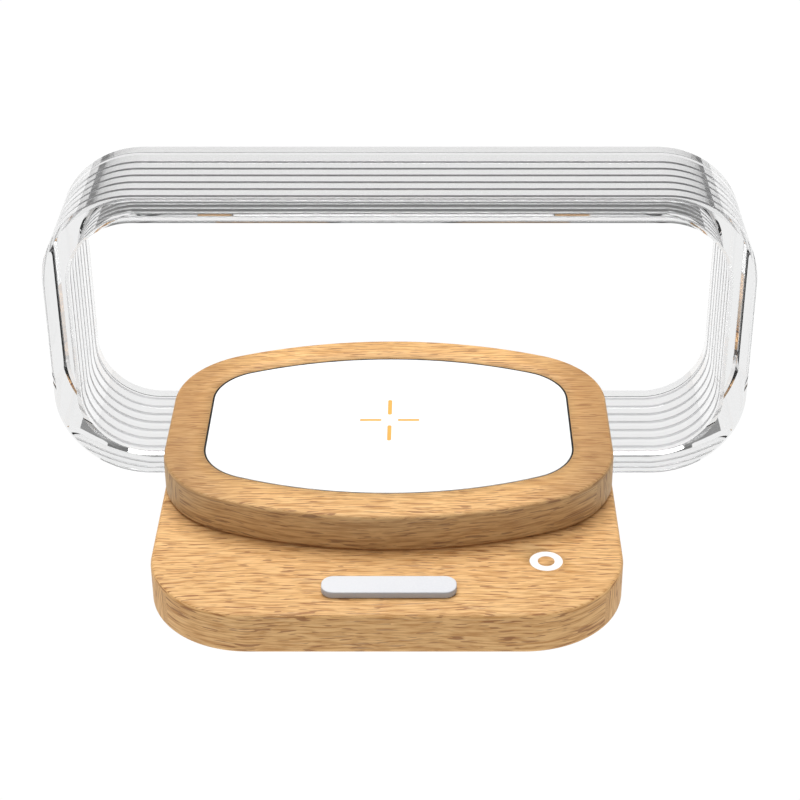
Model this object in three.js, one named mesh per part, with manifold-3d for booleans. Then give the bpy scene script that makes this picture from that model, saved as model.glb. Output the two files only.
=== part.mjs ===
// A bedside wireless charger. A beech charging pad sits on a square beech base, and a clear
// acrylic light loop stands upright through a channel across the base.
// Millimetres, +Z up, +X to the right, +Y to the back. The origin is on the surface that the
// charger stands on, under the middle of its bounding box.

import * as THREE from 'three';
import { mergeVertices } from 'three/addons/utils/BufferGeometryUtils.js';
import Module from 'manifold-3d';

// Driving dimensions.
const LOOP_WIDTH = 260;
const LOOP_HEIGHT = 115.8;
const LOOP_DEPTH = 47.8;
const LOOP_WALL = 9.9;
const LOOP_CORNER = 34.2;
const LOOP_FRONT = 26.15;
const LOOP_BOTTOM = 3;
const LOOP_GROOVES = 8;
const GROOVE_DEPTH = 0.35;
const GROOVE_HALF = 0.8;
const GROOVE_FLOOR_HALF = 0.7;
const GROOVE_BACK = 1.2;

const BASE_SIDE = 164.7;
const BASE_CORNER = 35.8;
const BASE_BOTTOM = 1;
const BASE_TOP = 16.8;
const BASE_X = -4;

const PAD_WIDTH = 164.2;
const PAD_DEPTH = 126.7;
const PAD_BOW = 157.5;
const PAD_CORNER = 35.8;
const PAD_TOP = 31.2;
const PAD_Y = 18.2;

const PANEL_WIDTH = 134.6;
const PANEL_DEPTH = 96.2;
const PANEL_BOW = 141.9;
const PANEL_CORNER = 21.35;
const PANEL_THICKNESS = 2;

const STOP_LENGTH = 46;
const STOP_DEPTH = 9.7;
const STOP_HEIGHT = 2.5;
const STOP_AT = [1, -67.9];
const STOP_CORNER = 4.2;
const STOP_EDGE = 0.4;

const RING_OUTER = 5.7;
const RING_INNER = 3;
const RING_AT = [55.3, -50.9];

const WOOD_EDGE = 1.6;
const ACRYLIC_EDGE = 1.2;

const GAP = 0.3;
const THIN_GAP = 0.1;
const ARC_STEPS = 5;
const LOOP_ARC_STEPS = 4;
const ROUND_SIDES = 16;
const SMALL_ROUND_SIDES = 10;

const wasm = await Module();
wasm.setup();

// Finishes: colour, roughness, metalness and opacity of each material.
const FINISHES = {
  beech: [0xd9a566, 0.55, 0, 1],
  clearAcrylic: [0xe9eef0, 0.05, 0, 0.35],
  whitePanel: [0xf6f6f5, 0.25, 0, 1],
  amber: [0xf0a54a, 0.4, 0, 1],
  whiteSilicone: [0xeceef1, 0.6, 0, 1],
  whitePlastic: [0xf4f4f4, 0.45, 0, 1],
  greySilicone: [0x5c6064, 0.8, 0, 1],
  darkPlastic: [0x2f3133, 0.6, 0, 1],
  circuitBoard: [0x1f5a3c, 0.5, 0, 1],
  chipBlack: [0x17181a, 0.45, 0, 1],
  steel: [0xb9bcc0, 0.35, 1, 1],
  copper: [0xc87f52, 0.3, 1, 1],
  ferrite: [0x3b3c3f, 0.7, 0, 1],
  ledCream: [0xf7e6a8, 0.4, 0, 1],
  nylon: [0xe6e3da, 0.6, 0, 1],
  leadRed: [0xa8322c, 0.5, 0, 1],
};

// Geometry helpers.

// Turn a closed three.js geometry into a solid that can be joined and cut.
function toSolid(geometry) {
  geometry.deleteAttribute('normal');
  geometry.deleteAttribute('uv');
  const merged = mergeVertices(geometry, 1e-4);
  return new wasm.Manifold(new wasm.Mesh({
    numProp: 3,
    vertProperties: new Float32Array(merged.attributes.position.array),
    triVerts: new Uint32Array(merged.index.array),
  }));
}

// Turn a joined or cut solid back into a three.js geometry.
function toGeometry(solid) {
  const mesh = solid.getMesh();
  const geometry = new THREE.BufferGeometry();
  geometry.setAttribute('position', new THREE.BufferAttribute(mesh.vertProperties, 3));
  geometry.setIndex(new THREE.BufferAttribute(mesh.triVerts, 1));
  geometry.computeVertexNormals();
  return geometry;
}

// A rectangle with round corners, centred on (x, y).
function roundedRectangle(width, height, radius, x = 0, y = 0) {
  const shape = new THREE.Shape();
  const right = x + width / 2 - radius;
  const left = x - width / 2 + radius;
  const top = y + height / 2 - radius;
  const bottom = y - height / 2 + radius;
  const quarter = Math.PI / 2;
  shape.absarc(right, bottom, radius, -quarter, 0, false);
  shape.absarc(right, top, radius, 0, quarter, false);
  shape.absarc(left, top, radius, quarter, 2 * quarter, false);
  shape.absarc(left, bottom, radius, 2 * quarter, 3 * quarter, false);
  shape.closePath();
  return shape;
}

// A barrel outline centred on (0, y): straight left and right sides, front and back bowed
// outward on the radius bow, and corner arcs that run smoothly into both.
function barrel(width, depth, bow, corner, y = 0) {
  const shape = new THREE.Shape();
  const cornerX = width / 2 - corner;
  const bowY = depth / 2 - bow;
  const cornerY = bowY + Math.sqrt((bow - corner) ** 2 - cornerX ** 2);
  const turn = Math.atan2(cornerY - bowY, cornerX);
  shape.absarc(cornerX, y + cornerY, corner, 0, turn, false);
  shape.absarc(0, y + bowY, bow, turn, Math.PI - turn, false);
  shape.absarc(-cornerX, y + cornerY, corner, Math.PI - turn, Math.PI, false);
  shape.absarc(-cornerX, y - cornerY, corner, Math.PI, Math.PI + turn, false);
  shape.absarc(0, y - bowY, bow, Math.PI + turn, 2 * Math.PI - turn, false);
  shape.absarc(cornerX, y - cornerY, corner, -turn, 0, false);
  shape.closePath();
  return shape;
}

// A flat slab of the outline from z = low to z = high, with its edges rounded by edge.
function slab(shape, low, high, edge = 0, edgeSteps = 2, arcSteps = ARC_STEPS) {
  const geometry = new THREE.ExtrudeGeometry(shape, {
    depth: high - low - 2 * edge,
    bevelEnabled: edge > 0,
    bevelThickness: edge,
    bevelSize: edge,
    bevelOffset: -edge,
    bevelSegments: edgeSteps,
    curveSegments: arcSteps,
  });
  geometry.translate(0, 0, low + edge);
  return geometry;
}

// A plain block between two opposite corners.
function block(low, high) {
  const size = high.map((value, axis) => value - low[axis]);
  const geometry = new THREE.BoxGeometry(...size);
  geometry.translate(low[0] + size[0] / 2, low[1] + size[1] / 2, low[2] + size[2] / 2);
  return geometry;
}

// A turned piece standing on z at (x, y): profile lists [radius, height] from the axis at
// the bottom round to the axis at the top.
function turned(profile, x, y, z, sides = ROUND_SIDES) {
  const points = profile.map(([radius, height]) => new THREE.Vector2(radius, height));
  const geometry = new THREE.LatheGeometry(points, sides);
  geometry.rotateX(Math.PI / 2);
  geometry.translate(x, y, z);
  return geometry;
}

// A plain upright cylinder.
function cylinder(radius, low, high, x, y, sides = ROUND_SIDES) {
  return turned([[0, 0], [radius, 0], [radius, high - low], [0, high - low]], x, y, low, sides);
}

// Cut every geometry in cutters out of the solid.
function cutAll(solid, cutters) {
  return cutters.reduce((rest, cutter) => rest.subtract(toSolid(cutter)), solid);
}

// A round lead along a smooth curve through the points.
function lead(points, radius, steps) {
  const path = new THREE.CatmullRomCurve3(points.map((point) => new THREE.Vector3(...point)));
  const section = new THREE.Shape();
  section.absarc(0, 0, radius, 0, 2 * Math.PI, false);
  return new THREE.ExtrudeGeometry(section, {
    steps,
    extrudePath: path,
    curveSegments: 3,
    bevelEnabled: false,
  });
}

// Turn a geometry drawn in x and z and extruded upward into one that runs along +Y from y.
function alongY(geometry, y, length) {
  geometry.rotateX(Math.PI / 2);
  geometry.translate(0, y + length, 0);
  return geometry;
}

const charger = new THREE.Group();
// Everything that is fixed to the base is placed from the middle of the base.
const baseGroup = new THREE.Group();
baseGroup.position.x = BASE_X;
charger.add(baseGroup);

function addPiece(group, name, finish, geometry) {
  const [color, roughness, metalness, opacity] = FINISHES[finish];
  const material = new THREE.MeshStandardMaterial({ color, roughness, metalness, opacity });
  material.transparent = opacity < 1;
  const mesh = new THREE.Mesh(geometry, material);
  mesh.name = name;
  group.add(mesh);
}

// Places shared by neighbouring pieces.

const COVER_INSET = 3;
const COVER_LOW = BASE_BOTTOM + 0.2;
const COVER_HIGH = COVER_LOW + 1.2;
const RECESS_TOP = COVER_HIGH + GAP;

const CHANNEL_FRONT = LOOP_FRONT - GAP;
const CHANNEL_BACK = LOOP_FRONT + LOOP_DEPTH + GAP;
const CHANNEL_TOP = LOOP_BOTTOM + LOOP_WALL + GAP;

const LIGHT_POCKET_HALF = 68;
const REFLECTOR_POCKET_HALF = 60;
const LIGHT_POCKET_FRONT = CHANNEL_FRONT - 2.2;
const REFLECTOR_POCKET_BACK = CHANNEL_BACK + 0.5;

const BAY_HALF = 66;
const BAY_FRONT = -66;
const BAY_BACK = 16;
const BAY_TOP = 11.8;
const BAY_CORNER = 14;

const PAD_BOTTOM = BASE_TOP + THIN_GAP;
const CAVITY_INSET = 14;
const CAVITY_TOP = 26.8;
const PANEL_LOW = PAD_TOP - PANEL_THICKNESS;
const PANEL_SEAT = PANEL_LOW - 0.4;

const ELECTRODE_RADIUS = 7;
const ELECTRODE_TOP = 14.2;
const ELECTRODE_LOW = ELECTRODE_TOP - 0.4;

const STOP_TONGUE_LENGTH = 38;
const STOP_TONGUE_DEPTH = 5;
const STOP_TONGUE_DROP = 3;
const RING_DROP = 0.8;

const LEAD_RADIUS = 0.9;
const LEAD_HOLE_RADIUS = 3;
const LEAD_HOLE_AT = [0, 6];
// The notch that the light strip's lead passes through, from x to x.
const LEAD_NOTCH = [20, 28];
const LEAD_NOTCH_TOP = 7;

const SOCKET_WIDTH = 8.9;
const SOCKET_HEIGHT = 3.2;
const SOCKET_LENGTH = 7.9;
const SOCKET_Z = 23.2;
const SOCKET_FRONT = 73.2;
const BOARD_LOW = 20.5;
const BOARD_HIGH = 21.5;
const BOARD_HALF = 24;
const BOARD_NECK_HALF = 7;
const BOARD_FRONT = 31;
const BOARD_BACK = 63;
const BOARD_SLOT_HALF = BOARD_NECK_HALF + 1;

const COIL_INNER = 10.5;
const COIL_OUTER = 22;
const FERRITE_RADIUS = 24.6;
const CARRIER_RADIUS = 27.5;
const CARRIER_WALL = 2.5;
const CARRIER_HEIGHT = 2.9;
const CARRIER_FLOOR = 0.8;
const COIL_DROP = 1.4;

const COVER_SCREWS = [[-40, -72.6], [40, -72.6], [-72.6, -30], [72.6, -30], [-40, 76.9], [40, 76.9]];
const PAD_SCREWS = [[-72, -14], [72, -14], [-14, 77.6], [14, 77.6]];
const PAD_SCREW_LOW = RECESS_TOP + 0.2;
const PAD_SCREW_HIGH = 24.5;
const PAD_SCREW_HEAD = 2.4;
const PAD_SCREW_SHANK = 1.4;
const COVER_SCREW_HIGH = 10;
const COVER_SCREW_HEAD = 1.9;
const COVER_SCREW_SHANK = 0.9;

const FEET = [[-58, -58], [58, -58], [-58, 58], [58, 58]];
const FOOT_RADIUS = 7;
const FOOT_EDGE = 0.4;
const FOOT_HEIGHT = 1.1;

const STANDOFFS = [[30, -57], [58, -34], [30, -34]];
const BOARD_SPACERS = [[-20, 35], [20, 35], [-20, 59], [20, 59]];
const SPACER_RADIUS = 2;
const LAMP_BOARD_LOW = 6;
const LAMP_BOARD_HIGH = 7;

// The base: a square beech block with round corners, hollowed from below.
function makeBaseBlock() {
  const outline = roundedRectangle(BASE_SIDE, BASE_SIDE, BASE_CORNER);
  const recessSide = BASE_SIDE - 2 * COVER_INSET + 2 * GAP;
  const recess = roundedRectangle(recessSide, recessSide, BASE_CORNER - COVER_INSET + GAP);
  const bayWidth = 2 * BAY_HALF;
  const bayDepth = BAY_BACK - BAY_FRONT;
  const bay = roundedRectangle(bayWidth, bayDepth, BAY_CORNER, 0, (BAY_BACK + BAY_FRONT) / 2);
  const below = BASE_BOTTOM - 1;
  const [ringX, ringY] = RING_AT;
  const ringGroove = [
    [RING_INNER - THIN_GAP, 0],
    [RING_OUTER + THIN_GAP, 0],
    [RING_OUTER + THIN_GAP, RING_DROP + 1],
    [RING_INNER - THIN_GAP, RING_DROP + 1],
    [RING_INNER - THIN_GAP, 0],
  ];
  const stopSlot = roundedRectangle(
    STOP_TONGUE_LENGTH + 2 * THIN_GAP,
    STOP_TONGUE_DEPTH + 2 * THIN_GAP,
    STOP_TONGUE_DEPTH / 2,
    ...STOP_AT,
  );
  const cutters = [
    slab(recess, below, RECESS_TOP),
    slab(bay, below, BAY_TOP),
    // The channel that the loop's bottom bar slides in, open at both sides of the base.
    block([-BASE_SIDE, CHANNEL_FRONT, below], [BASE_SIDE, CHANNEL_BACK, CHANNEL_TOP]),
    // Room for the light strip in front of the bar and for the reflector behind it.
    block(
      [-LIGHT_POCKET_HALF, LIGHT_POCKET_FRONT, below],
      [LIGHT_POCKET_HALF, CHANNEL_FRONT + 1, CHANNEL_TOP],
    ),
    block(
      [-REFLECTOR_POCKET_HALF, CHANNEL_BACK - 1, below],
      [REFLECTOR_POCKET_HALF, REFLECTOR_POCKET_BACK, CHANNEL_TOP],
    ),
    block([LEAD_NOTCH[0], BAY_BACK - 2, below], [LEAD_NOTCH[1], LIGHT_POCKET_FRONT + 1, LEAD_NOTCH_TOP]),
    cylinder(ELECTRODE_RADIUS + GAP, BAY_TOP - 1, ELECTRODE_TOP + THIN_GAP, ringX, ringY, 24),
    cylinder(LEAD_HOLE_RADIUS, BAY_TOP - 1, BASE_TOP + 1, ...LEAD_HOLE_AT),
    turned(ringGroove, ringX, ringY, BASE_TOP - RING_DROP - THIN_GAP, 32),
    slab(stopSlot, BASE_TOP - STOP_TONGUE_DROP - THIN_GAP, BASE_TOP + 1),
  ];
  for (const [x, y] of PAD_SCREWS) {
    const headTop = PAD_SCREW_LOW + PAD_SCREW_HEAD;
    cutters.push(cylinder(PAD_SCREW_HEAD + THIN_GAP, below, headTop + THIN_GAP, x, y));
    cutters.push(cylinder(PAD_SCREW_SHANK + THIN_GAP, headTop, BASE_TOP + 1, x, y));
  }
  for (const [x, y] of COVER_SCREWS) {
    const holeTop = COVER_SCREW_HIGH + GAP;
    cutters.push(cylinder(COVER_SCREW_SHANK + THIN_GAP, below, holeTop, x, y, SMALL_ROUND_SIDES));
  }
  return toGeometry(cutAll(toSolid(slab(outline, BASE_BOTTOM, BASE_TOP, WOOD_EDGE)), cutters));
}

// The charging pad's beech block: a seat for the panel on top, a cavity for the coil and the
// board below, and a way out at the back for the power socket.
function makePadBlock() {
  const outline = barrel(PAD_WIDTH, PAD_DEPTH, PAD_BOW, PAD_CORNER, PAD_Y);
  const seat = barrel(
    PANEL_WIDTH + 2 * GAP,
    PANEL_DEPTH + 2 * GAP,
    PANEL_BOW + GAP,
    PANEL_CORNER + GAP,
    PAD_Y,
  );
  const cavity = barrel(
    PAD_WIDTH - 2 * CAVITY_INSET,
    PAD_DEPTH - 2 * CAVITY_INSET,
    PAD_BOW - CAVITY_INSET,
    PAD_CORNER - CAVITY_INSET,
    PAD_Y,
  );
  const below = PAD_BOTTOM - 1;
  const mouthWidth = SOCKET_WIDTH + 2 * GAP;
  const mouthHeight = SOCKET_HEIGHT + 2 * GAP;
  const mouth = roundedRectangle(mouthWidth, mouthHeight, mouthHeight / 2 - THIN_GAP, 0, SOCKET_Z);
  const cutters = [
    slab(seat, PANEL_SEAT, PAD_TOP + 1),
    slab(cavity, below, CAVITY_TOP),
    block(
      [-BOARD_SLOT_HALF, PAD_Y, below],
      [BOARD_SLOT_HALF, SOCKET_FRONT + 1, CAVITY_TOP - 1],
    ),
    alongY(slab(mouth, 0, 12), SOCKET_FRONT, 12),
  ];
  for (const [x, y] of PAD_SCREWS) {
    cutters.push(cylinder(PAD_SCREW_SHANK + THIN_GAP, below, PAD_SCREW_HIGH + GAP, x, y));
  }
  return toGeometry(cutAll(toSolid(slab(outline, PAD_BOTTOM, PAD_TOP, WOOD_EDGE)), cutters));
}

// The mark that shows where to put a telephone: four strokes round an open centre.
const MARK_Y = PAD_Y + 1.6;
const MARK_STROKE = 1.5;
const MARK_DROP = 0.4;
const MARK_ACROSS = { length: 8.2, offset: 7.1 };
const MARK_ALONG = { length: 10.7, offset: 9.2 };
const MARKS = [
  { name: 'mark_left', at: [-MARK_ACROSS.offset, 0], size: [MARK_ACROSS.length, MARK_STROKE] },
  { name: 'mark_right', at: [MARK_ACROSS.offset, 0], size: [MARK_ACROSS.length, MARK_STROKE] },
  { name: 'mark_front', at: [0, -MARK_ALONG.offset], size: [MARK_STROKE, MARK_ALONG.length] },
  { name: 'mark_back', at: [0, MARK_ALONG.offset], size: [MARK_STROKE, MARK_ALONG.length] },
];

function markBlock(mark, low, high, grow) {
  const [x, y] = [mark.at[0], mark.at[1] + MARK_Y];
  const halfX = mark.size[0] / 2 + grow;
  const halfY = mark.size[1] / 2 + grow;
  return block([x - halfX, y - halfY, low], [x + halfX, y + halfY, high]);
}

function makePanel() {
  const outline = barrel(PANEL_WIDTH, PANEL_DEPTH, PANEL_BOW, PANEL_CORNER, PAD_Y);
  const seatLow = PAD_TOP - MARK_DROP - THIN_GAP;
  const seats = MARKS.map((mark) => markBlock(mark, seatLow, PAD_TOP + 1, THIN_GAP));
  return toGeometry(cutAll(toSolid(slab(outline, PANEL_LOW, PAD_TOP, 0.4, 1)), seats));
}

function makePanelTape() {
  const inset = 2;
  const width = 5;
  const ring = (by) => barrel(
    PANEL_WIDTH - 2 * by,
    PANEL_DEPTH - 2 * by,
    PANEL_BOW - by,
    PANEL_CORNER - by,
    PAD_Y,
  );
  const outer = toSolid(slab(ring(inset), PANEL_SEAT + 0.05, PANEL_LOW - 0.05));
  const inner = toSolid(slab(ring(inset + width), PANEL_SEAT - 1, PANEL_LOW + 1));
  return toGeometry(outer.subtract(inner));
}

// The light loop: a flat bar of clear acrylic bent into a closed round-cornered rectangle.
// Its outside is smooth, and fine grooves run all the way round its inside.
function makeLoop() {
  const middleZ = LOOP_BOTTOM + LOOP_HEIGHT / 2;
  const outside = roundedRectangle(LOOP_WIDTH, LOOP_HEIGHT, LOOP_CORNER, 0, middleZ);
  const inside = roundedRectangle(
    LOOP_WIDTH - 2 * LOOP_WALL,
    LOOP_HEIGHT - 2 * LOOP_WALL,
    LOOP_CORNER - LOOP_WALL,
    0,
    middleZ,
  );
  // A ring that cuts a groove round the inside, centred on the depth y: halfWidth is half of
  // its width at the mouth, and floorHalf is half of its flat floor.
  const grooveCutter = (y, cutDepth, halfWidth, floorHalf) => {
    const reachIn = 0.3;
    const geometry = new THREE.ExtrudeGeometry(inside, {
      depth: 2 * floorHalf,
      bevelEnabled: true,
      bevelThickness: (halfWidth - floorHalf) * (1 + reachIn / cutDepth),
      bevelSize: cutDepth + reachIn,
      bevelOffset: -reachIn,
      bevelSegments: 1,
      curveSegments: LOOP_ARC_STEPS,
    });
    return alongY(geometry, LOOP_FRONT + y - floorHalf, 2 * floorHalf);
  };
  const pitch = LOOP_DEPTH / LOOP_GROOVES;
  const opening = slab(inside, -1, LOOP_DEPTH + 1, 0, 0, LOOP_ARC_STEPS);
  const cutters = [alongY(opening, LOOP_FRONT, LOOP_DEPTH)];
  for (let groove = 0; groove < LOOP_GROOVES; groove += 1) {
    const middle = (groove + 0.5) * pitch + GROOVE_BACK;
    cutters.push(grooveCutter(middle, GROOVE_DEPTH, GROOVE_HALF, GROOVE_FLOOR_HALF));
  }
  const edgeFloor = 0.01;
  cutters.push(grooveCutter(0, ACRYLIC_EDGE, ACRYLIC_EDGE + edgeFloor, edgeFloor));
  cutters.push(grooveCutter(LOOP_DEPTH, ACRYLIC_EDGE, ACRYLIC_EDGE + edgeFloor, edgeFloor));
  const bar = slab(outside, 0, LOOP_DEPTH, ACRYLIC_EDGE, 1, LOOP_ARC_STEPS);
  return toGeometry(cutAll(toSolid(alongY(bar, LOOP_FRONT, LOOP_DEPTH)), cutters));
}

// The silicone stop that keeps a standing telephone's lower edge from sliding forward, with a
// tongue underneath that sits in the base's slot.
function makeStop() {
  const top = roundedRectangle(STOP_LENGTH, STOP_DEPTH, STOP_CORNER, ...STOP_AT);
  const tongue = roundedRectangle(
    STOP_TONGUE_LENGTH,
    STOP_TONGUE_DEPTH,
    STOP_TONGUE_DEPTH / 2 - THIN_GAP,
    ...STOP_AT,
  );
  const low = BASE_TOP + THIN_GAP;
  const bar = toSolid(slab(top, low, low + STOP_HEIGHT, STOP_EDGE, 2, LOOP_ARC_STEPS));
  const peg = slab(tongue, BASE_TOP - STOP_TONGUE_DROP, low + 1, 0, 0, 2);
  return toGeometry(bar.add(toSolid(peg)));
}

function makeRing() {
  const profile = [
    [RING_INNER, 0],
    [RING_OUTER, 0],
    [RING_OUTER, RING_DROP],
    [RING_INNER, RING_DROP],
    [RING_INNER, 0],
  ];
  return turned(profile, ...RING_AT, BASE_TOP - RING_DROP, 32);
}

// The cover that closes the base from below, with posts for the touch board and a hole for
// each of its screws.
function makeCover() {
  const side = BASE_SIDE - 2 * COVER_INSET;
  const outline = roundedRectangle(side, side, BASE_CORNER - COVER_INSET);
  let cover = toSolid(slab(outline, COVER_LOW, COVER_HIGH));
  const postTop = LAMP_BOARD_LOW - THIN_GAP;
  for (const [x, y] of STANDOFFS) {
    const post = cylinder(SPACER_RADIUS, COVER_HIGH - 0.5, postTop, x, y, SMALL_ROUND_SIDES);
    cover = cover.add(toSolid(post));
  }
  const holes = COVER_SCREWS.map(([x, y]) => (
    cylinder(COVER_SCREW_HEAD + THIN_GAP, COVER_LOW - 1, COVER_HIGH + 1, x, y, SMALL_ROUND_SIDES)
  ));
  return toGeometry(cutAll(cover, holes));
}

// A screw with its head at the bottom, cut short of the end of its hole.
function screw(x, y, low, high, head, shank) {
  const profile = [
    [0, 0],
    [head * 0.8, 0],
    [head, head * 0.2],
    [head, head * 0.35],
    [shank, head * 0.7],
    [shank, high - low - shank],
    [0, high - low],
  ];
  return turned(profile, x, y, low, SMALL_ROUND_SIDES);
}

function makeCoilCarrier() {
  const profile = [
    [0, 0],
    [CARRIER_RADIUS, 0],
    [CARRIER_RADIUS, CARRIER_HEIGHT],
    [CARRIER_RADIUS - CARRIER_WALL, CARRIER_HEIGHT],
    [CARRIER_RADIUS - CARRIER_WALL, CARRIER_FLOOR],
    [0, CARRIER_FLOOR],
  ];
  return turned(profile, 0, PAD_Y, CAVITY_TOP - THIN_GAP - CARRIER_HEIGHT, 24);
}

function makeCoil() {
  const profile = [
    [COIL_INNER, 0],
    [COIL_OUTER, 0],
    [COIL_OUTER, 1],
    [COIL_INNER, 1],
    [COIL_INNER, 0],
  ];
  return turned(profile, 0, PAD_Y, CAVITY_TOP - COIL_DROP, 32);
}

// The charger board is T-shaped: its narrow end reaches into the back wall to the socket.
function makeChargerBoard() {
  const shape = new THREE.Shape();
  shape.moveTo(-BOARD_HALF, BOARD_FRONT);
  shape.lineTo(BOARD_HALF, BOARD_FRONT);
  shape.lineTo(BOARD_HALF, BOARD_BACK);
  shape.lineTo(BOARD_NECK_HALF, BOARD_BACK);
  shape.lineTo(BOARD_NECK_HALF, SOCKET_FRONT - THIN_GAP);
  shape.lineTo(-BOARD_NECK_HALF, SOCKET_FRONT - THIN_GAP);
  shape.lineTo(-BOARD_NECK_HALF, BOARD_BACK);
  shape.lineTo(-BOARD_HALF, BOARD_BACK);
  shape.closePath();
  return slab(shape, BOARD_LOW, BOARD_HIGH);
}

// The power socket's steel shell, open at the back of the pad.
function makeSocketShell() {
  const wall = 0.35;
  const flat = 0.05;
  const outerCorner = SOCKET_HEIGHT / 2 - flat;
  const outer = roundedRectangle(SOCKET_WIDTH, SOCKET_HEIGHT, outerCorner, 0, SOCKET_Z);
  const innerWidth = SOCKET_WIDTH - 2 * wall;
  const innerHeight = SOCKET_HEIGHT - 2 * wall;
  const innerCorner = innerHeight / 2 - flat;
  const inner = roundedRectangle(innerWidth, innerHeight, innerCorner, 0, SOCKET_Z);
  const shell = toSolid(alongY(slab(outer, 0, SOCKET_LENGTH), SOCKET_FRONT, SOCKET_LENGTH));
  const room = alongY(slab(inner, 0, SOCKET_LENGTH), SOCKET_FRONT + 1, SOCKET_LENGTH);
  return toGeometry(shell.subtract(toSolid(room)));
}

// Put the pieces together.

addPiece(baseGroup, 'base_block', 'beech', makeBaseBlock());
addPiece(baseGroup, 'pad_block', 'beech', makePadBlock());
addPiece(baseGroup, 'charging_panel', 'whitePanel', makePanel());
for (const mark of MARKS) {
  addPiece(baseGroup, mark.name, 'amber', markBlock(mark, PAD_TOP - MARK_DROP, PAD_TOP, 0));
}
addPiece(baseGroup, 'panel_tape', 'greySilicone', makePanelTape());
addPiece(baseGroup, 'phone_stop', 'whiteSilicone', makeStop());
addPiece(baseGroup, 'touch_ring', 'whitePlastic', makeRing());

// Touch sensing: an electrode under the ring, a spring contact and the lamp's own board.
const [ringX, ringY] = RING_AT;
const electrode = cylinder(ELECTRODE_RADIUS, ELECTRODE_LOW, ELECTRODE_TOP, ringX, ringY, 24);
addPiece(baseGroup, 'touch_electrode', 'copper', electrode);
const contactLow = LAMP_BOARD_HIGH + THIN_GAP;
const contactHigh = ELECTRODE_LOW - THIN_GAP;
const contact = cylinder(1.6, contactLow, contactHigh, ringX, ringY, SMALL_ROUND_SIDES);
addPiece(baseGroup, 'touch_contact', 'steel', contact);
const lampBoardOutline = roundedRectangle(34, 30, 2, 44, -45);
const lampBoard = slab(lampBoardOutline, LAMP_BOARD_LOW, LAMP_BOARD_HIGH);
addPiece(baseGroup, 'lamp_board', 'circuitBoard', lampBoard);
const touchChip = block([38, -46, contactLow], [43, -41, contactLow + 1.1]);
addPiece(baseGroup, 'touch_chip', 'chipBlack', touchChip);

// Charging: coil and ferrite in a carrier under the panel, and the board with its parts.
addPiece(baseGroup, 'coil_carrier', 'darkPlastic', makeCoilCarrier());
const ferriteHigh = CAVITY_TOP - COIL_DROP - THIN_GAP;
const ferrite = cylinder(FERRITE_RADIUS, ferriteHigh - 0.6, ferriteHigh, 0, PAD_Y, 24);
addPiece(baseGroup, 'ferrite_disc', 'ferrite', ferrite);
addPiece(baseGroup, 'charging_coil', 'copper', makeCoil());
addPiece(baseGroup, 'charger_board', 'circuitBoard', makeChargerBoard());
const onBoard = BOARD_HIGH + THIN_GAP;
const chargerChip = block([-3, 50, onBoard], [3, 56, onBoard + 0.9]);
addPiece(baseGroup, 'charger_chip', 'chipBlack', chargerChip);
const inductor = cylinder(3.6, onBoard, onBoard + 1.7, -13, 54, SMALL_ROUND_SIDES);
addPiece(baseGroup, 'charger_inductor', 'ferrite', inductor);
for (let index = 0; index < 3; index += 1) {
  const y = 38 + index * 7;
  const capacitor = block([14, y, onBoard], [19, y + 4, onBoard + 1.6]);
  addPiece(baseGroup, `capacitor_${index + 1}`, 'amber', capacitor);
}
addPiece(baseGroup, 'usb_socket', 'steel', makeSocketShell());
const tongueLow = [-3.3, SOCKET_FRONT + 1 + THIN_GAP, SOCKET_Z - 0.35];
const tongueHigh = [3.3, SOCKET_FRONT + SOCKET_LENGTH - 1.5, SOCKET_Z + 0.35];
addPiece(baseGroup, 'usb_tongue', 'chipBlack', block(tongueLow, tongueHigh));
BOARD_SPACERS.forEach(([x, y], index) => {
  const spacerTop = BOARD_LOW - THIN_GAP;
  const spacer = cylinder(SPACER_RADIUS, PAD_BOTTOM, spacerTop, x, y, SMALL_ROUND_SIDES);
  addPiece(baseGroup, `board_spacer_${index + 1}`, 'nylon', spacer);
});

// The light strip stands in front of the loop's bottom bar and shines into it.
const STRIP_HALF = 62;
const STRIP_FRONT = LIGHT_POCKET_FRONT + THIN_GAP;
const LED_COUNT = 8;
const LED_MIDDLE = LOOP_BOTTOM + LOOP_WALL / 2;
const LED_HALF_WIDTH = 1.4;
const LED_HALF_HEIGHT = 1.75;
const stripLow = [-STRIP_HALF, STRIP_FRONT, 4];
const stripHigh = [STRIP_HALF, STRIP_FRONT + 0.8, CHANNEL_TOP - 0.6];
const strip = block(stripLow, stripHigh);
addPiece(baseGroup, 'light_strip', 'circuitBoard', strip);
for (let index = 0; index < LED_COUNT; index += 1) {
  const x = (index - (LED_COUNT - 1) / 2) * (2 * STRIP_HALF / LED_COUNT);
  const low = [x - LED_HALF_WIDTH, STRIP_FRONT + 0.9, LED_MIDDLE - LED_HALF_HEIGHT];
  const high = [x + LED_HALF_WIDTH, STRIP_FRONT + 1.7, LED_MIDDLE + LED_HALF_HEIGHT];
  addPiece(baseGroup, `led_${index + 1}`, 'ledCream', block(low, high));
}
const reflectorHalf = REFLECTOR_POCKET_HALF - 2;
const reflectorLow = [-reflectorHalf, CHANNEL_BACK, LOOP_BOTTOM + 0.2];
const reflectorHigh = [reflectorHalf, REFLECTOR_POCKET_BACK - THIN_GAP, CHANNEL_TOP - 0.4];
addPiece(baseGroup, 'reflector', 'whitePlastic', block(reflectorLow, reflectorHigh));

// Thin silicone strips between the cover and the bar hold the loop by friction.
for (const [side, x] of [['left', -74], ['right', 74]]) {
  const low = [x - 4, LOOP_FRONT + 2, COVER_HIGH + 0.05];
  const high = [x + 4, LOOP_FRONT + LOOP_DEPTH / 2, LOOP_BOTTOM - THIN_GAP];
  addPiece(baseGroup, `grip_strip_${side}`, 'greySilicone', block(low, high));
}

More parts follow.
